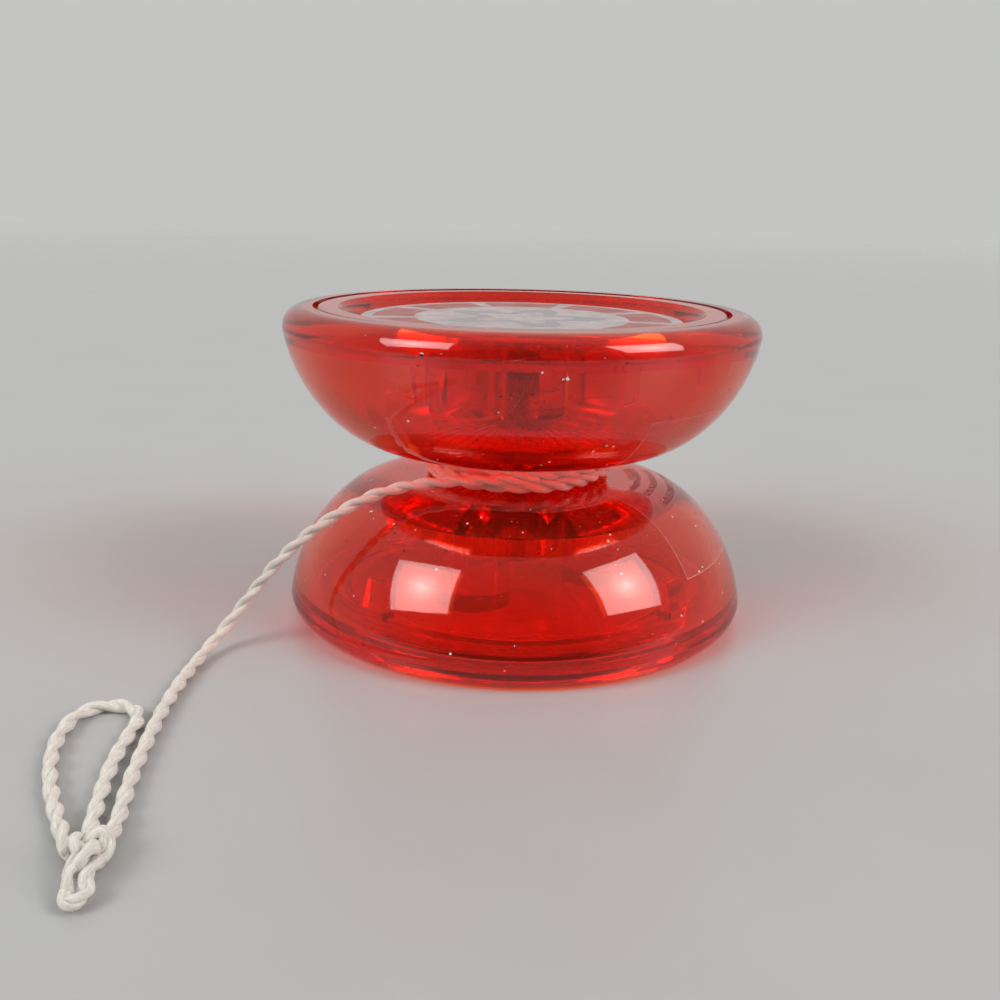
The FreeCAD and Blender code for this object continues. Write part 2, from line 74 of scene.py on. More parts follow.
camera_data = bpy.data.cameras.new("camera")
camera_data.lens = LENS_MM
camera_data.sensor_width = SENSOR_MM
camera_data.clip_start = 0.005
camera_data.clip_end = 300.0
camera = bpy.data.objects.new("camera", camera_data)
bpy.context.scene.collection.objects.link(camera)
aim = (CAMERA_AIM - CAMERA_PLACE).to_track_quat("-Z", "Y").to_matrix().to_4x4()
camera.matrix_world = Matrix.Translation(CAMERA_PLACE) @ aim @ Matrix.Rotation(CAMERA_ROLL, 4, "Z")
bpy.context.scene.camera = camera

# ---------------------------------------------------------------- meshes

def new_piece(name, verts, faces, uvs=None, smooth=True):
    """A mesh object from points in metres, with one (u, v) per point if uvs is given."""
    mesh = bpy.data.meshes.new(name)
    mesh.from_pydata([tuple(v) for v in verts], [], faces)
    if uvs is not None:
        layer = mesh.uv_layers.new(name="UVMap")
        corner = np.empty(len(mesh.loops), dtype=np.int32)
        mesh.loops.foreach_get("vertex_index", corner)
        layer.data.foreach_set("uv", np.asarray(uvs, dtype=np.float32)[corner].ravel())
    if smooth:
        mesh.polygons.foreach_set("use_smooth", [True] * len(mesh.polygons))
    mesh.update()
    piece = bpy.data.objects.new(name, mesh)
    bpy.context.scene.collection.objects.link(piece)
    return piece


def unit(rows):
    """Each row as a direction of length 1."""
    return rows / np.linalg.norm(rows, axis=1)[:, None]


def resample(points, step):
    """The same line as evenly spaced points, and how far along it each one is."""
    points = np.asarray(points, dtype=float)
    reach = np.concatenate([[0.0], np.cumsum(np.linalg.norm(np.diff(points, axis=0), axis=1))])
    count = max(2, int(round(reach[-1] / step)) + 1)
    at = np.linspace(0.0, reach[-1], count)
    return np.stack([np.interp(at, reach, points[:, i]) for i in range(3)], axis=1), at


def carried_frame(points):
    """Tangent, and two directions across it that don't twist along the line."""
    tangents = unit(np.gradient(points, axis=0))
    start = np.cross(tangents[0], [0.0, 0.0, 1.0])
    if np.linalg.norm(start) < 1e-6:
        start = np.array([1.0, 0.0, 0.0])
    across = np.empty_like(points)
    across[0] = start / np.linalg.norm(start)
    for i in range(1, len(points)):
        turned = across[i - 1] - tangents[i] * np.dot(across[i - 1], tangents[i])
        across[i] = turned / np.linalg.norm(turned)
    return tangents, across, np.cross(tangents, across)


class MeshParts:
    """Gathers several swept surfaces into one mesh."""

    def __init__(self):
        self.verts, self.faces, self.uvs = [], [], []

    def sweep(self, points, radii, sides, at):
        """A round tube along points, closed at both ends. u runs round it, v along it in mm."""
        _, across, upward = carried_frame(points)
        radii = np.broadcast_to(np.asarray(radii, dtype=float), (len(points),))
        base = len(self.verts)
        for side in range(sides):
            turn = 2 * math.pi * side / sides
            ring = points + (across * math.cos(turn) + upward * math.sin(turn)) * radii[:, None]
            self.verts.extend(ring)
            self.uvs.extend((side / sides, v / MM) for v in at)
        rows = len(points)
        for side in range(sides):
            here, beside = base + side * rows, base + (side + 1) % sides * rows
            self.faces.extend((here + i, here + i + 1, beside + i + 1, beside + i)
                              for i in range(rows - 1))
        self.faces.append([base + side * rows for side in range(sides)])
        self.faces.append([base + side * rows + rows - 1 for side in reversed(range(sides))])

    def piece(self, name):
        return new_piece(name, self.verts, self.faces, self.uvs)


# ---------------------------------------------------------------- the string's line

PLY_RADIUS = 0.43 * MM
PLY_OFFSET = 0.28 * MM
PLY_PITCH = 5.9 * MM
STRING_STEP = 0.16 * MM
FUZZ_RADIUS = 0.012 * MM
FUZZ_STEPS = 4
FUZZ_ROOT = 0.5 * MM             # from the string's centre line to where a fibre starts
FUZZ_SPREAD = 1.6                # most that a free fibre leans along the string
FUZZ_PULL = 2.5                  # how far a fibre leans towards a given direction
FUZZ_CURL = 0.7
LONG_SWELL, SHORT_SWELL = 0.05, 0.03
LONG_SWELL_LENGTH, SHORT_SWELL_LENGTH = 1.7 * MM, 0.6 * MM
CURVE_STEPS = 24

# the same places as the CAD source's routes, in metres
TAIL_ROUTE = [
    (0.0025, -0.0108, 0.0189), (-0.0030, -0.0117, 0.0189), (-0.0080, -0.0121, 0.0188),
    (-0.0126, -0.0135, 0.0185), (-0.0166, -0.0152, 0.0177), (-0.0202, -0.0164, 0.0159),
    (-0.0236, -0.0172, 0.0136), (-0.0269, -0.0174, 0.0104), (-0.0298, -0.0173, 0.0069),
    (-0.0322, -0.0179, 0.0037), (-0.0340, -0.0199, 0.0014), (-0.0349, -0.0240, 0.0007),
    (-0.0351, -0.0290, 0.0007), (-0.0349, -0.0346, 0.0007), (-0.0344, -0.0404, 0.0007),
    (-0.0336, -0.0464, 0.0007), (-0.0326, -0.0520, 0.0007), (-0.0316, -0.0560, 0.0010),
    (-0.0313, -0.0588, 0.0015),
]
LOOP_ROUTE = [
    (-0.0330, -0.0580, 0.0012), (-0.0341, -0.0544, 0.0008), (-0.0352, -0.0499, 0.0007),
    (-0.0360, -0.0453, 0.0007), (-0.0363, -0.0410, 0.0007), (-0.0365, -0.0370, 0.0007),
    (-0.0384, -0.0351, 0.0007), (-0.0410, -0.0351, 0.0007), (-0.0429, -0.0370, 0.0007),
    (-0.0429, -0.0410, 0.0007), (-0.0418, -0.0454, 0.0007), (-0.0399, -0.0496, 0.0007),
    (-0.0376, -0.0536, 0.0007), (-0.0354, -0.0572, 0.0009), (-0.0336, -0.0600, 0.0013),
]


def spline_line(name, route):
    """Points along the NURBS spline that has the route's places as its control points."""
    curve = bpy.data.curves.new(name, "CURVE")
    curve.dimensions = "3D"
    curve.resolution_u = CURVE_STEPS
    spline = curve.splines.new("NURBS")
    spline.points.add(len(route) - 1)
    for point, place in zip(spline.points, route):
        point.co = (*place, 1.0)
    spline.order_u = 3
    spline.use_endpoint_u = True
    guide = bpy.data.objects.new(name, curve)
    line = bpy.data.meshes.new_from_object(guide)
    points = np.array([v.co for v in line.vertices])
    bpy.data.objects.remove(guide)
    return points


def add_twisted(parts, points, phase=0.0, step=STRING_STEP, sides=12, squeeze=1.0):
    """Two plies laid round each other along a line; returns the line's points."""
    points, at = resample(points, step)
    _, across, upward = carried_frame(points)
    for ply in range(2):
        turn = phase + math.pi * ply + 2 * math.pi * at / PLY_PITCH
        offset = across * np.cos(turn)[:, None] + upward * np.sin(turn)[:, None]
        swell = (1.0 + LONG_SWELL * np.sin(at / LONG_SWELL_LENGTH + 2.0 * ply)
                 + SHORT_SWELL * np.sin(at / SHORT_SWELL_LENGTH))
        radii = PLY_RADIUS * squeeze * swell
        parts.sweep(points + offset * PLY_OFFSET * squeeze, radii, sides, at)
    return points


def add_fuzz(parts, points, count, seed, proud=0.9 * MM, towards=None):
    """Loose cotton fibres that stand out from a line, or lean towards a direction."""
    draw = random.Random(seed)
    tangents, across, upward = carried_frame(points)
    for _ in range(count):
        i = draw.randrange(len(points))
        turn = draw.uniform(0.0, 2 * math.pi)
        outward = across[i] * math.cos(turn) + upward[i] * math.sin(turn)
        if towards is None:
            lean = tangents[i] * draw.uniform(-FUZZ_SPREAD, FUZZ_SPREAD)
        else:
            lean = towards * FUZZ_PULL
        start = points[i] + outward * FUZZ_ROOT
        length = proud * draw.uniform(0.4, 1.0)
        curl = np.cross(outward, tangents[i]) * draw.uniform(-FUZZ_CURL, FUZZ_CURL)
        hair = [start + (outward + lean * (1 - 0.4 * k) + curl * k) * (length * k / FUZZ_STEPS / 2)
                for k in range(FUZZ_STEPS + 1)]
        hair = np.maximum(np.array(hair), [-1.0, -1.0, FUZZ_RADIUS])
        parts.sweep(hair, np.linspace(FUZZ_RADIUS, FUZZ_RADIUS / 3, len(hair)), 3,
                    np.linspace(0.0, length, len(hair)))


tail_parts = MeshParts()
tail_line = add_twisted(tail_parts, spline_line("tail_line", TAIL_ROUTE))
add_fuzz(tail_parts, tail_line[:-20], 260, 3)
tail = tail_parts.piece("free_string")

loop_parts = MeshParts()
loop_line = add_twisted(loop_parts, spline_line("loop_line", LOOP_ROUTE), phase=1.0)
add_fuzz(loop_parts, loop_line, 170, 4)
loop = loop_parts.piece("loop_string")

# ---------------------------------------------------------------- the wound string

winding_low, winding_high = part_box("string_winding")
MID_PLANE = (winding_low.z + winding_high.z) / 2
OUTER_TURN = 11.1 * MM
LAYERS = 6
LAYER_RISE = 1.22 * MM
ROWS = 3
ROW_RISE = 1.1 * MM
TURN_POINTS = 48
STEP_UP = 0.25                   # the part of a turn in which the string climbs to the next layer


def winding_path():
    """Helical layers from the hub outwards, ending where the free string leaves."""
    leave = math.atan2(TAIL_ROUTE[0][1], TAIL_ROUTE[0][0])
    path = []
    total = LAYERS * ROWS
    for i in range(total * TURN_POINTS + 1):
        turns = i / TURN_POINTS
        layer = min(LAYERS - 1, int(turns // ROWS))
        along = min(turns - layer * ROWS, ROWS)
        climb = min(1.0, max(0.0, (along - (ROWS - STEP_UP)) / STEP_UP))
        blend = climb if layer < LAYERS - 1 else 0.0
        radius = OUTER_TURN - (LAYERS - 1 - layer - blend) * LAYER_RISE
        sweep = (along - 0.5) / (ROWS - 1)
        side = 1.0 if layer % 2 else -1.0
        height = MID_PLANE + side * (2 * min(1.0, max(0.0, sweep)) - 1) * ROW_RISE
        angle = leave - (turns - total) * 2 * math.pi
        path.append((radius * math.cos(angle), radius * math.sin(angle), height))
    return path


winding_parts = MeshParts()
add_twisted(winding_parts, winding_path(), step=0.3 * MM, sides=8)
winding = winding_parts.piece("wound_string")

# ---------------------------------------------------------------- the knot

knot_low, knot_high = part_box("string_knot")
knot_parts = MeshParts()
KNOT_CENTRE = (knot_low + knot_high) / 2
KNOT_STEPS = 120
KNOT_HALF_WIDTH, KNOT_HALF_LENGTH, KNOT_HALF_HEIGHT = 0.40, 0.72, 0.82   # mm for a unit trefoil
KNOT_SHIFT = 0.6
END_STEPS = 40
END_HALF_WIDTH, END_START, END_REACH = 0.72, 3.2, 1.25    # mm, as are the next two
END_SIDE, END_DROP = 0.7, 0.75
KNOT_SQUEEZE, END_SQUEEZE = 0.92, 0.85
KNOT_STEP = 0.12 * MM


def knot_path():
    """A trefoil drawn tight along the string."""
    path = []
    for i in range(KNOT_STEPS + 1):
        t = 2 * math.pi * i / KNOT_STEPS
        x = math.sin(t) + 2 * math.sin(2 * t)
        y = math.cos(t) - 2 * math.cos(2 * t)
        z = -math.sin(3 * t)
        path.append(KNOT_CENTRE + Vector((KNOT_HALF_WIDTH * x, KNOT_HALF_LENGTH * y + KNOT_SHIFT,
                                          KNOT_HALF_HEIGHT * z)) * MM)
    return path


def knot_end_path():
    """The doubled end of the string, folded back below the knot."""
    path = []
    for i in range(END_STEPS + 1):
        t = math.pi * i / END_STEPS
        reach = -END_START - END_REACH * math.sin(t)
        side = END_SIDE + END_HALF_WIDTH * math.cos(t)
        path.append(KNOT_CENTRE + Vector((side, reach, -END_DROP)) * MM)
    start = [KNOT_CENTRE + Vector((0.9, y, -0.3)) * MM for y in (0.0, -1.1, -2.2)]
    finish = [KNOT_CENTRE + Vector((-0.3, y, 0.2)) * MM for y in (-2.4, -1.4, -0.6)]
    return start + path + finish


add_twisted(knot_parts, knot_path(), step=KNOT_STEP, sides=10, squeeze=KNOT_SQUEEZE)
end_line = add_twisted(knot_parts, knot_end_path(), step=KNOT_STEP, sides=10, squeeze=END_SQUEEZE)
add_fuzz(knot_parts, np.array([tuple(p) for p in knot_path()]), 90, 5, 0.7 * MM)
add_fuzz(knot_parts, end_line[20:45], 70, 6, 0.8 * MM, np.array([0.0, -1.0, 0.1]))
knot = knot_parts.piece("tied_knot")

# ---------------------------------------------------------------- glitter in the plastic

FLAKE_THICKNESS = 0.012 * MM
FLAKE_CORNERS = 6
SMALLEST_FLAKE, LARGEST_FLAKE = 0.07, 0.13
COARSE_SHARE, COARSE_SCALE = 0.12, 1.5
SHELL_FLAKES, SHELL_DEPTH = 700, 1.5 * MM
CAP_FLAKES, CAP_DEPTH = 120, 1.0 * MM
OUTSIDE = 0.1                    # a start for rays, well outside the object
FLAKE_COVER = 0.2 * MM           # plastic over the shallowest of the tilted flakes
SKIN_SHARE = 0.4                 # of the flakes, those that lie flat in the skin
SKIN_FLAKE_SCALE = 1.25
EDGE_MARGIN = 0.5 * MM


def glitter(name, seed, mouldings):
    """Closed hexagonal flakes in the skin of the mouldings and a little under it.

    mouldings are (node name, number of flakes, greatest depth)."""
    draw = random.Random(seed)
    verts, faces = [], []
    for node_name, count, deepest in mouldings:
        low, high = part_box(node_name)
        heart = (low + high) / 2
        mesh = nodes[node_name].data
        surface = BVHTree.FromPolygons([v.co for v in mesh.vertices],
                                       [tuple(p.vertices) for p in mesh.polygons])
        for _ in range(count):
            way = Vector([draw.gauss(0.0, 1.0) for _ in range(3)]).normalized()
            hit, normal, _, _ = surface.ray_cast(heart + way * OUTSIDE, -way)
            radius = draw.uniform(SMALLEST_FLAKE, LARGEST_FLAKE) * MM
            radius *= COARSE_SCALE if draw.random() < COARSE_SHARE else 1.0
            depth = FLAKE_COVER + (deepest - FLAKE_COVER) * draw.random() ** 2
            tilt = Euler([draw.uniform(0.0, math.pi) for _ in range(3)]).to_matrix()
            in_skin = draw.random() < SKIN_SHARE
            if hit is None or not cad_low.z + EDGE_MARGIN < hit.z < cad_high.z - EDGE_MARGIN:
                continue
            if in_skin:
                radius *= SKIN_FLAKE_SCALE
                depth = -FLAKE_THICKNESS / 3
                tilt = normal.to_track_quat("Z", "Y").to_matrix()
            base = len(verts)
            for side in (-1, 1):
                for k in range(FLAKE_CORNERS):
                    turn = 2 * math.pi * k / FLAKE_CORNERS
                    corner = Vector((radius * math.cos(turn), radius * math.sin(turn),
                                     side * FLAKE_THICKNESS / 2))
                    verts.append(hit - normal * depth + tilt @ corner)
            faces.append([base + k for k in reversed(range(FLAKE_CORNERS))])
            faces.append([base + FLAKE_CORNERS + k for k in range(FLAKE_CORNERS)])
            for k in range(FLAKE_CORNERS):
                after = (k + 1) % FLAKE_CORNERS
                faces.append([base + k, base + after, base + FLAKE_CORNERS + after,
                              base + FLAKE_CORNERS + k])
    return new_piece(name, verts, faces, smooth=False)


lower_glitter = glitter("lower_glitter", 11, [("lower_half_shell", SHELL_FLAKES, SHELL_DEPTH),
                                              ("lower_cap", CAP_FLAKES, CAP_DEPTH)])
upper_glitter = glitter("upper_glitter", 12, [("upper_half_shell", SHELL_FLAKES, SHELL_DEPTH),
                                              ("upper_cap", CAP_FLAKES, CAP_DEPTH)])

# ---------------------------------------------------------------- materials

def new_material(name):
    """A material with its node tree and its Principled shader."""
    material = bpy.data.materials.new(name)
    material.use_nodes = True
    shader = material.node_tree.nodes["Principled BSDF"]
    return material, material.node_tree, shader


def node(tree, kind, **values):
    """A node with named properties, or input values given as in_Name=value."""
    made = tree.nodes.new("ShaderNode" + kind)
    for key, value in values.items():
        if key.startswith("in_"):
            made.inputs[key[3:].replace("_", " ")].default_value = value
        else:
            setattr(made, key, value)
    return made


def object_noise(tree, scale, detail=3.0, rough=0.5, stretch=None):
    """A noise texture over the piece's own coordinates, in metres."""
    place = node(tree, "TexCoord")
    mapping = node(tree, "Mapping")
    mapping.inputs["Scale"].default_value = stretch or (1.0, 1.0, 1.0)
    noise = node(tree, "TexNoise", in_Scale=scale, in_Detail=detail, in_Roughness=rough)
    tree.links.new(place.outputs["Object"], mapping.inputs["Vector"])
    tree.links.new(mapping.outputs["Vector"], noise.inputs["Vector"])
    return noise


def ramp(tree, source, stops):
    """A colour ramp over a socket; stops are (position, colour)."""
    made = node(tree, "ValToRGB")
    elements = made.color_ramp.elements
    while len(elements) < len(stops):
        elements.new(0.5)
    for element, (position, colour) in zip(elements, stops):
        element.position = position
        element.color = (*colour, 1.0)
    tree.links.new(source, made.inputs["Fac"])
    return made


def maths(tree, operation, *values):
    """A Math node over sockets and numbers; returns its output."""
    made = node(tree, "Math", operation=operation)
    for slot, value in zip(made.inputs, values):
        if isinstance(value, (int, float)):
            slot.default_value = value
        else:
            tree.links.new(value, slot)
    return made.outputs["Value"]


def cylinder_coordinates(tree):
    """Radius, angle and height about the axle, in metres and radians."""
    place = node(tree, "TexCoord")
    parts = node(tree, "SeparateXYZ")
    tree.links.new(place.outputs["Object"], parts.inputs["Vector"])
    x, y, z = parts.outputs["X"], parts.outputs["Y"], parts.outputs["Z"]
    squares = maths(tree, "ADD", maths(tree, "MULTIPLY", x, x), maths(tree, "MULTIPLY", y, y))
    return maths(tree, "SQRT", squares), maths(tree, "ARCTAN2", y, x), z


def near(tree, value, middle, half_width):
    """1 where a value is within half_width of the middle."""
    return maths(tree, "COMPARE", value, middle, half_width)


SEAM_HALF = 0.05 * MM
MATTE_HALF = 0.04 * MM
PLASTIC_IOR = 1.585
REFLECTION_TINT = (1.0, 0.85, 0.84, 1.0)


def seam_line(tree):
    """The witness line of the mould at the widest circle of a half."""
    _, _, height = cylinder_coordinates(tree)
    return maths(tree, "ADD", near(tree, height, cad_low.z + LIP_DROP, SEAM_HALF),
                 near(tree, height, cad_high.z - LIP_DROP, SEAM_HALF))


def add_bump(tree, shader, height, strength, distance):
    """Fine relief from a height socket."""
    bump = node(tree, "Bump", in_Strength=strength, in_Distance=distance)
    tree.links.new(height, bump.inputs["Height"])
    tree.links.new(bump.outputs["Normal"], shader.inputs["Normal"])


def clear_plastic(name, tint, passed, density, shadow_tint, haze, matte_heights=()):
    """Polished, dyed plastic, matte at the given heights. Shadow rays pass through it, tinted."""
    material, tree, shader = new_material(name)
    shader.inputs["Base Color"].default_value = (*tint, 1.0)
    shader.inputs["Transmission Weight"].default_value = 1.0 - haze
    shader.inputs["IOR"].default_value = PLASTIC_IOR
    shader.inputs["Specular Tint"].default_value = REFLECTION_TINT
    smear = object_noise(tree, 260.0, 5.0, 0.65)
    rough = ramp(tree, smear.outputs["Fac"], [(0.40, (0.010,) * 3), (0.72, (0.075,) * 3)])
    tree.links.new(rough.outputs["Color"], shader.inputs["Roughness"])
    flow = object_noise(tree, 120.0, 2.0, 0.4)
    seam = seam_line(tree)
    if matte_heights:
        _, _, level = cylinder_coordinates(tree)
        matte = near(tree, level, matte_heights[0], MATTE_HALF)
        for matte_height in matte_heights[1:]:
            matte = maths(tree, "MAXIMUM", matte, near(tree, level, matte_height, MATTE_HALF))
        clear = 1.0 - haze
        tree.links.new(maths(tree, "MULTIPLY_ADD", matte, MATTE_TRANSMISSION - clear, clear),
                       shader.inputs["Transmission Weight"])
    height = maths(tree, "ADD", maths(tree, "MULTIPLY", flow.outputs["Fac"], 0.03), seam)
    add_bump(tree, shader, height, 1.0, 0.1 * MM)
    path = node(tree, "LightPath")
    through = node(tree, "BsdfTransparent")
    through.inputs["Color"].default_value = (*shadow_tint, 1.0)
    mix = node(tree, "MixShader")
    tree.links.new(path.outputs["Is Shadow Ray"], mix.inputs["Fac"])
    tree.links.new(shader.outputs["BSDF"], mix.inputs[1])
    tree.links.new(through.outputs["BSDF"], mix.inputs[2])
    output = tree.nodes["Material Output"]
    tree.links.new(mix.outputs["Shader"], output.inputs["Surface"])
    volume = node(tree, "VolumeAbsorption", in_Density=density)
    volume.inputs["Color"].default_value = (*passed, 1.0)
    tree.links.new(volume.outputs["Volume"], output.inputs["Volume"])
    return material


def metal(name, colour, roughness, grain_scale, stretch):
    """Machined metal with turning marks."""
    material, tree, shader = new_material(name)
    shader.inputs["Metallic"].default_value = 1.0
    grain = object_noise(tree, grain_scale, 4.0, 0.6, stretch)
    dark = tuple(c * 0.75 for c in colour)
    tone = ramp(tree, grain.outputs["Fac"], [(0.3, dark), (0.7, colour)])
    tree.links.new(tone.outputs["Color"], shader.inputs["Base Color"])
    rough = ramp(tree, grain.outputs["Fac"], [(0.3, (roughness * 1.4,) * 3),
                                              (0.7, (roughness * 0.7,) * 3)])
    tree.links.new(rough.outputs["Color"], shader.inputs["Roughness"])
    add_bump(tree, shader, grain.outputs["Fac"], 0.15, 0.02 * MM)
    return material


def cotton():
    """Undyed cotton ply: fibres run along it with a slight twist."""
    material, tree, shader = new_material("cotton_ply")
    uv = node(tree, "TexCoord")
    fibre_map = node(tree, "Mapping")
    fibre_map.inputs["Scale"].default_value = (26.0, 1.1, 1.0)
    fibre_map.inputs["Rotation"].default_value = (0.0, 0.0, 0.05)
    tree.links.new(uv.outputs["UV"], fibre_map.inputs["Vector"])
    fibre = node(tree, "TexNoise", in_Scale=1.0, in_Detail=4.0, in_Roughness=0.65,
                 in_Distortion=0.4)
    tree.links.new(fibre_map.outputs["Vector"], fibre.inputs["Vector"])
    tone = ramp(tree, fibre.outputs["Fac"], [(0.25, (0.50, 0.46, 0.395)),
                                              (0.6, (0.80, 0.765, 0.70)),
                                              (0.85, (0.87, 0.84, 0.78))])
    tree.links.new(tone.outputs["Color"], shader.inputs["Base Color"])
    shader.inputs["Roughness"].default_value = 0.85
    shader.inputs["Sheen Weight"].default_value = 0.3
    shader.inputs["Sheen Roughness"].default_value = 0.5
    shader.inputs["Subsurface Weight"].default_value = 0.25
    shader.inputs["Subsurface Radius"].default_value = (0.4 * MM, 0.35 * MM, 0.3 * MM)
    add_bump(tree, shader, fibre.outputs["Fac"], 0.6, 0.08 * MM)
    return material


BAND_MIDDLE, BAND_HALF = 0.80, 0.13          # shares of the disc's radius
BAND_SPOKES, BAND_GAP = 9.0, -0.88
STAR_POINTS, STAR_DEPTH, STAR_RADIUS, STAR_HEART = 5.0, 0.13, 0.40, 0.62
STAR_GREY = (0.36, 0.33, 0.34)
PRINT_HALF = 0.05 * MM


def printed_disc(name, node_name, face_height):
    """A silvery printed disc: a pale field, a worn red band and a plain grey star."""
    material, tree, shader = new_material(name)
    low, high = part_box(node_name)
    edge = (high.x - low.x) / 2
    radius, angle, height = cylinder_coordinates(tree)
    share = maths(tree, "DIVIDE", radius, edge)
    wear = object_noise(tree, 500.0, 5.0, 0.7)
    spokes = maths(tree, "SINE", maths(tree, "MULTIPLY", angle, BAND_SPOKES))
    band = maths(tree, "MULTIPLY", near(tree, share, BAND_MIDDLE, BAND_HALF),
                 maths(tree, "GREATER_THAN", spokes, BAND_GAP))
    points = maths(tree, "COSINE", maths(tree, "MULTIPLY", angle, STAR_POINTS))
    outline = maths(tree, "MULTIPLY_ADD", points, STAR_DEPTH, STAR_RADIUS)
    star = maths(tree, "LESS_THAN", share, outline)
    heart = maths(tree, "LESS_THAN", share, maths(tree, "MULTIPLY", outline, STAR_HEART))
    star = maths(tree, "SUBTRACT", star, heart)
    foil = ramp(tree, wear.outputs["Fac"], [(0.3, (0.38, 0.31, 0.31)), (0.7, (0.56, 0.50, 0.50))])
    paper = ramp(tree, wear.outputs["Fac"], [(0.3, (0.86, 0.84, 0.83)), (0.7, (0.92, 0.90, 0.89))])
    red_ink = ramp(tree, wear.outputs["Fac"], [(0.35, (0.36, 0.10, 0.09)),
                                                (0.7, (0.46, 0.24, 0.23))])
    face = near(tree, height, face_height, PRINT_HALF)
    sides = mixed(tree, face, paper.outputs["Color"], foil.outputs["Color"])
    first = mixed(tree, maths(tree, "MULTIPLY", band, face), sides, red_ink.outputs["Color"])
    second = mixed(tree, maths(tree, "MULTIPLY", star, face), first, STAR_GREY)
    tree.links.new(second, shader.inputs["Base Color"])
    shader.inputs["Metallic"].default_value = 0.1
    shader.inputs["Specular IOR Level"].default_value = 0.25
    rough = ramp(tree, wear.outputs["Fac"], [(0.3, (0.45,) * 3), (0.7, (0.60,) * 3)])
    tree.links.new(rough.outputs["Color"], shader.inputs["Roughness"])
    add_bump(tree, shader, wear.outputs["Fac"], 0.2, 0.02 * MM)
    return material


def mixed(tree, factor, first, second):
    """One colour laid over another by a factor; the second may be a plain colour."""
    made = node(tree, "MixRGB")
    tree.links.new(factor, made.inputs["Fac"])
    tree.links.new(first, made.inputs["Color1"])
    if isinstance(second, tuple):
        made.inputs["Color2"].default_value = (*second, 1.0)
    else:
        tree.links.new(second, made.inputs["Color2"])
    return made.outputs["Color"]


LABEL_ROWS = (15.4 * MM, 17.4 * MM, 19.6 * MM)
LABEL_ROW_HALF = 0.45 * MM
LABEL_EDGE = 0.06 * MM
STROKE_PITCH = 0.5 * MM
STROKE_SHARE = 0.55
STROKE_LEVEL = 0.44              # of the noise that breaks the strokes up
LABEL_REACH = 24.0 * MM          # the radius at which distances round the label are measured
LABEL_SHIFT, LABEL_HALF_ANGLE = 0.1, 0.36
BORDER_ALPHA, INK_ALPHA, FILM_ALPHA = 0.22, 0.70, 0.02
INK = (0.22, 0.002, 0.001)


def label_film(name, node_name, outer_height):
    """Clear film with a fine pale border and rows of short plain strokes."""
    material, tree, shader = new_material(name)
    verts = [v.co for v in nodes[node_name].data.vertices]
    angles = [math.atan2(v.y, v.x) for v in verts]
    first, last = min(angles), max(angles)
    radius, angle, height = cylinder_coordinates(tree)
    arc = maths(tree, "MULTIPLY", angle, LABEL_REACH)
    border = near(tree, height, outer_height, LABEL_EDGE)
    for end in (first, last):
        border = maths(tree, "MAXIMUM", border, near(tree, arc, end * LABEL_REACH, LABEL_EDGE))
    rows = near(tree, radius, LABEL_ROWS[0], LABEL_ROW_HALF)
    for row in LABEL_ROWS[1:]:
        rows = maths(tree, "MAXIMUM", rows, near(tree, radius, row, LABEL_ROW_HALF))
    middle = (first + last) / 2 + LABEL_SHIFT
    rows = maths(tree, "MULTIPLY", rows, near(tree, angle, middle, LABEL_HALF_ANGLE))
    words = node(tree, "TexNoise", in_Scale=1500.0, in_Detail=1.0)
    place = node(tree, "TexCoord")
    tree.links.new(place.outputs["Object"], words.inputs["Vector"])
    along = maths(tree, "FRACT", maths(tree, "DIVIDE", arc, STROKE_PITCH))
    strokes = maths(tree, "LESS_THAN", along, STROKE_SHARE)
    inked = maths(tree, "GREATER_THAN", words.outputs["Fac"], STROKE_LEVEL)
    ink = maths(tree, "MULTIPLY", rows, maths(tree, "MULTIPLY", strokes, inked))
    pale = ramp(tree, words.outputs["Fac"], [(0.3, (0.80, 0.62, 0.58)), (0.7, (0.88, 0.72, 0.68))])
    tree.links.new(mixed(tree, ink, pale.outputs["Color"], INK),
                   shader.inputs["Base Color"])
    cover = maths(tree, "MAXIMUM", maths(tree, "MULTIPLY", border, BORDER_ALPHA),
                  maths(tree, "MULTIPLY", ink, INK_ALPHA))
    tree.links.new(maths(tree, "MAXIMUM", cover, FILM_ALPHA), shader.inputs["Alpha"])
    shader.inputs["Roughness"].default_value = 0.3
    shader.inputs["Specular IOR Level"].default_value = 0.25
    return material


def glitter_flakes_with_painted_shade():
    """Tiny metallised flakes, most of them silver and some dark; the dark ones are painted shade,
    standing in for flakes that mirror only dark surroundings.
    """
    material, tree, shader = new_material("glitter_flakes_with_painted_shade")
    pick = object_noise(tree, 2500.0, 0.0, 0.5)
    # painted shade: the near-black end of this ramp stands in for flakes that mirror dark
    # surroundings, not for a colour the flakes have
    tone = ramp(tree, pick.outputs["Fac"], [(0.50, (0.05, 0.0, 0.0)), (0.53, (0.97, 0.91, 0.92))])
    tree.links.new(tone.outputs["Color"], shader.inputs["Base Color"])
    shader.inputs["Metallic"].default_value = 0.2
    rough = ramp(tree, pick.outputs["Fac"], [(0.3, (0.2,) * 3), (0.7, (0.4,) * 3)])
    tree.links.new(rough.outputs["Color"], shader.inputs["Roughness"])
    return material


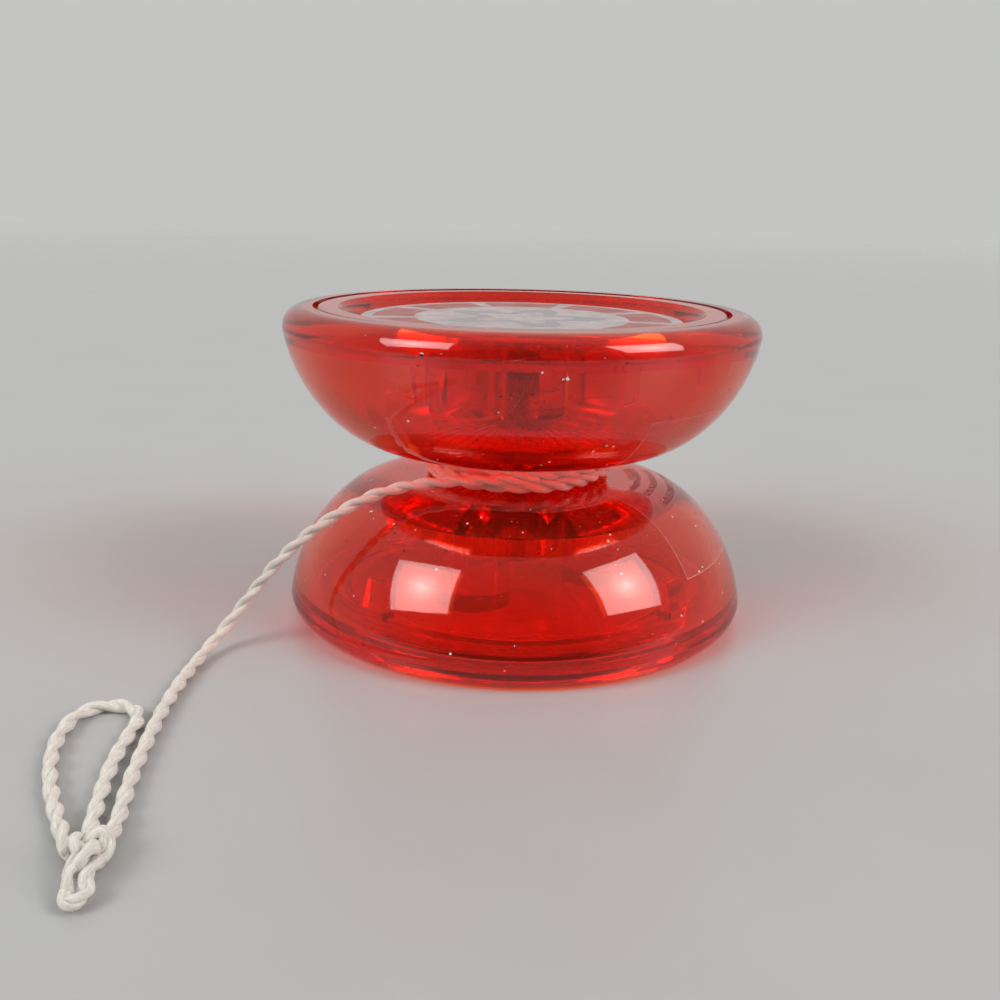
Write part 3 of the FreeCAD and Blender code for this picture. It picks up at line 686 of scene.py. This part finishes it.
red_body = clear_plastic("clear_red_body", tint=(0.985, 0.26, 0.09), passed=(0.985, 0.50, 0.10),
                         density=400.0, shadow_tint=(0.97, 0.52, 0.36), haze=0.02)
red_cap = clear_plastic("clear_red_cap", tint=(0.985, 0.24, 0.08), passed=(0.985, 0.45, 0.10),
                        density=400.0, shadow_tint=(0.90, 0.50, 0.36), haze=0.03,
                        matte_heights=(MID_PLANE - POST_HALF, MID_PLANE + POST_HALF))
cotton_ply = cotton()
steel = metal("turned_steel", (0.62, 0.61, 0.60), 0.25, 4000.0, (1.0, 1.0, 0.2))
brass = metal("pressed_brass", (0.80, 0.60, 0.30), 0.3, 3000.0, None)
aluminium = metal("turned_aluminium", (0.85, 0.85, 0.86), 0.3, 3000.0, (1.0, 1.0, 0.2))
flakes = glitter_flakes_with_painted_shade()
lower_print = printed_disc("lower_print", "lower_decal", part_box("lower_decal")[0].z)
upper_print = printed_disc("upper_print", "upper_decal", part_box("upper_decal")[1].z)
lower_film = label_film("lower_film", "lower_label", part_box("lower_label")[0].z)
upper_film = label_film("upper_film", "upper_label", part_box("upper_label")[1].z)


def dress(names, material):
    """Puts a material on CAD nodes."""
    for name in names:
        slots = nodes[name].data.materials
        if len(slots):
            slots[0] = material
        else:
            slots.append(material)


dress(["lower_half_shell", "upper_half_shell"], red_body)
dress(["lower_cap", "upper_cap"], red_cap)
dress(["lower_decal"], lower_print)
dress(["upper_decal"], upper_print)
dress(["lower_label"], lower_film)
dress(["upper_label"], upper_film)
dress(["axle", "lower_axle_nut", "upper_axle_nut", "bearing_inner_race", "bearing_outer_race",
       "bearing_balls", "lower_shield", "upper_shield"], steel)
dress(["bearing_cage"], brass)
dress(["lower_spacer", "upper_spacer"], aluminium)
for piece in (tail, loop, winding, knot):
    piece.data.materials.append(cotton_ply)
for piece in (lower_glitter, upper_glitter):
    piece.data.materials.append(flakes)

# ---------------------------------------------------------------- riding and cords

for piece, node_name in ((tail, "string_tail"), (loop, "finger_loop"), (winding, "string_winding"),
                         (knot, "string_knot")):
    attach(piece, "string_bearing")
    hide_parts(node_name)
for piece, body in ((lower_glitter, "lower_half"), (upper_glitter, "upper_half")):
    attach(piece, body)

# ---------------------------------------------------------------- the stage

FLOOR_REACH = 120.0
CLEAR_FROM = 0.25                # the far floor passes softly into the wall's tone
CLEAR_TO = 2.2
floor_material, floor_tree, floor_shader = new_material("pale_floor")
grain = object_noise(floor_tree, 40.0, 3.0, 0.5)
floor_tone = ramp(floor_tree, grain.outputs["Fac"], [(0.3, (0.445, 0.445, 0.442)),
                                                     (0.7, (0.460, 0.460, 0.457))])
floor_tree.links.new(floor_tone.outputs["Color"], floor_shader.inputs["Base Color"])
floor_shader.inputs["Roughness"].default_value = 0.3
from_axle, _, _ = cylinder_coordinates(floor_tree)
clearing = node(floor_tree, "MapRange", interpolation_type="SMOOTHSTEP")
clearing.inputs["From Min"].default_value = CLEAR_FROM
clearing.inputs["From Max"].default_value = CLEAR_TO
floor_tree.links.new(from_axle, clearing.inputs["Value"])
seen_far = maths(floor_tree, "MULTIPLY", clearing.outputs["Result"],
                 node(floor_tree, "LightPath").outputs["Is Camera Ray"])
floor_tree.links.new(maths(floor_tree, "SUBTRACT", 1.0, seen_far), floor_shader.inputs["Alpha"])
floor = new_piece("floor", [(-FLOOR_REACH, -FLOOR_REACH, 0), (FLOOR_REACH, -FLOOR_REACH, 0),
                            (FLOOR_REACH, FLOOR_REACH, 0), (-FLOOR_REACH, FLOOR_REACH, 0)],
                  [(0, 1, 2, 3)], smooth=False)
floor.data.materials.append(floor_material)

DARK_ROOM = (0.05, 0.05, 0.05)
SIDE_ROOM = (0.42, 0.42, 0.41)
BRIGHT_WALL = (0.56, 0.565, 0.545)

world = bpy.data.worlds.new("studio")
world.use_nodes = True
sky = world.node_tree
direction = node(sky, "TexCoord")
way = node(sky, "SeparateXYZ")
sky.links.new(direction.outputs["Generated"], way.inputs["Vector"])
room = ramp(sky, maths(sky, "MULTIPLY_ADD", way.outputs["Y"], 0.5, 0.5),
            [(0.08, DARK_ROOM), (0.40, SIDE_ROOM), (0.62, BRIGHT_WALL)])
path = node(sky, "LightPath")
seen = mixed(sky, path.outputs["Is Camera Ray"], room.outputs["Color"], BRIGHT_WALL)
sky.links.new(seen, sky.nodes["Background"].inputs["Color"])
bpy.context.scene.world = world

LIGHT_DISTANCE = 30.0
SOFTBOX_WIDTH = 16.2
SOFTBOX_HEIGHT = 17.1
SOFTBOX_RADIANCE = 13.8


def softbox(name, direction, roll):
    """A rectangular light that faces the object's middle, turned by roll about its own axis."""
    data = bpy.data.lights.new(name, "AREA")
    data.shape = "RECTANGLE"
    data.size, data.size_y = SOFTBOX_WIDTH, SOFTBOX_HEIGHT
    data.energy = SOFTBOX_RADIANCE * math.pi * SOFTBOX_WIDTH * SOFTBOX_HEIGHT
    light = bpy.data.objects.new(name, data)
    bpy.context.scene.collection.objects.link(light)
    towards = Vector(direction).normalized()
    light.location = Vector((0.0, 0.0, MID_PLANE)) + towards * LIGHT_DISTANCE
    light.rotation_mode = "QUATERNION"
    light.rotation_quaternion = (-towards).to_track_quat("-Z", "Y") @ Quaternion((0, 0, 1), roll)
    light.visible_camera = False
    data.use_nodes = True
    tree = data.node_tree
    face = node(tree, "NewGeometry")
    centre = node(tree, "VectorMath", operation="DISTANCE")
    centre.inputs[1].default_value = (0.5, 0.5, 0.0)       # the middle of the light's face
    tree.links.new(face.outputs["Parametric"], centre.inputs[0])
    glow = ramp(tree, centre.outputs["Value"], [(0.0, (1.0,) * 3), (0.12, (0.68,) * 3),
                                                (0.3, (0.45,) * 3), (0.6, (0.34,) * 3)])
    tree.links.new(glow.outputs["Color"], tree.nodes["Emission"].inputs["Color"])


softbox("softbox_left", (-0.662, -0.438, 0.609), math.radians(23.0))
softbox("softbox_right", (0.757, -0.276, 0.592), math.radians(-17.0))

scene = bpy.context.scene
scene.view_settings.view_transform = "Standard"
scene.cycles.max_bounces = 32
scene.cycles.transmission_bounces = 32
scene.cycles.glossy_bounces = 12
scene.cycles.transparent_max_bounces = 24
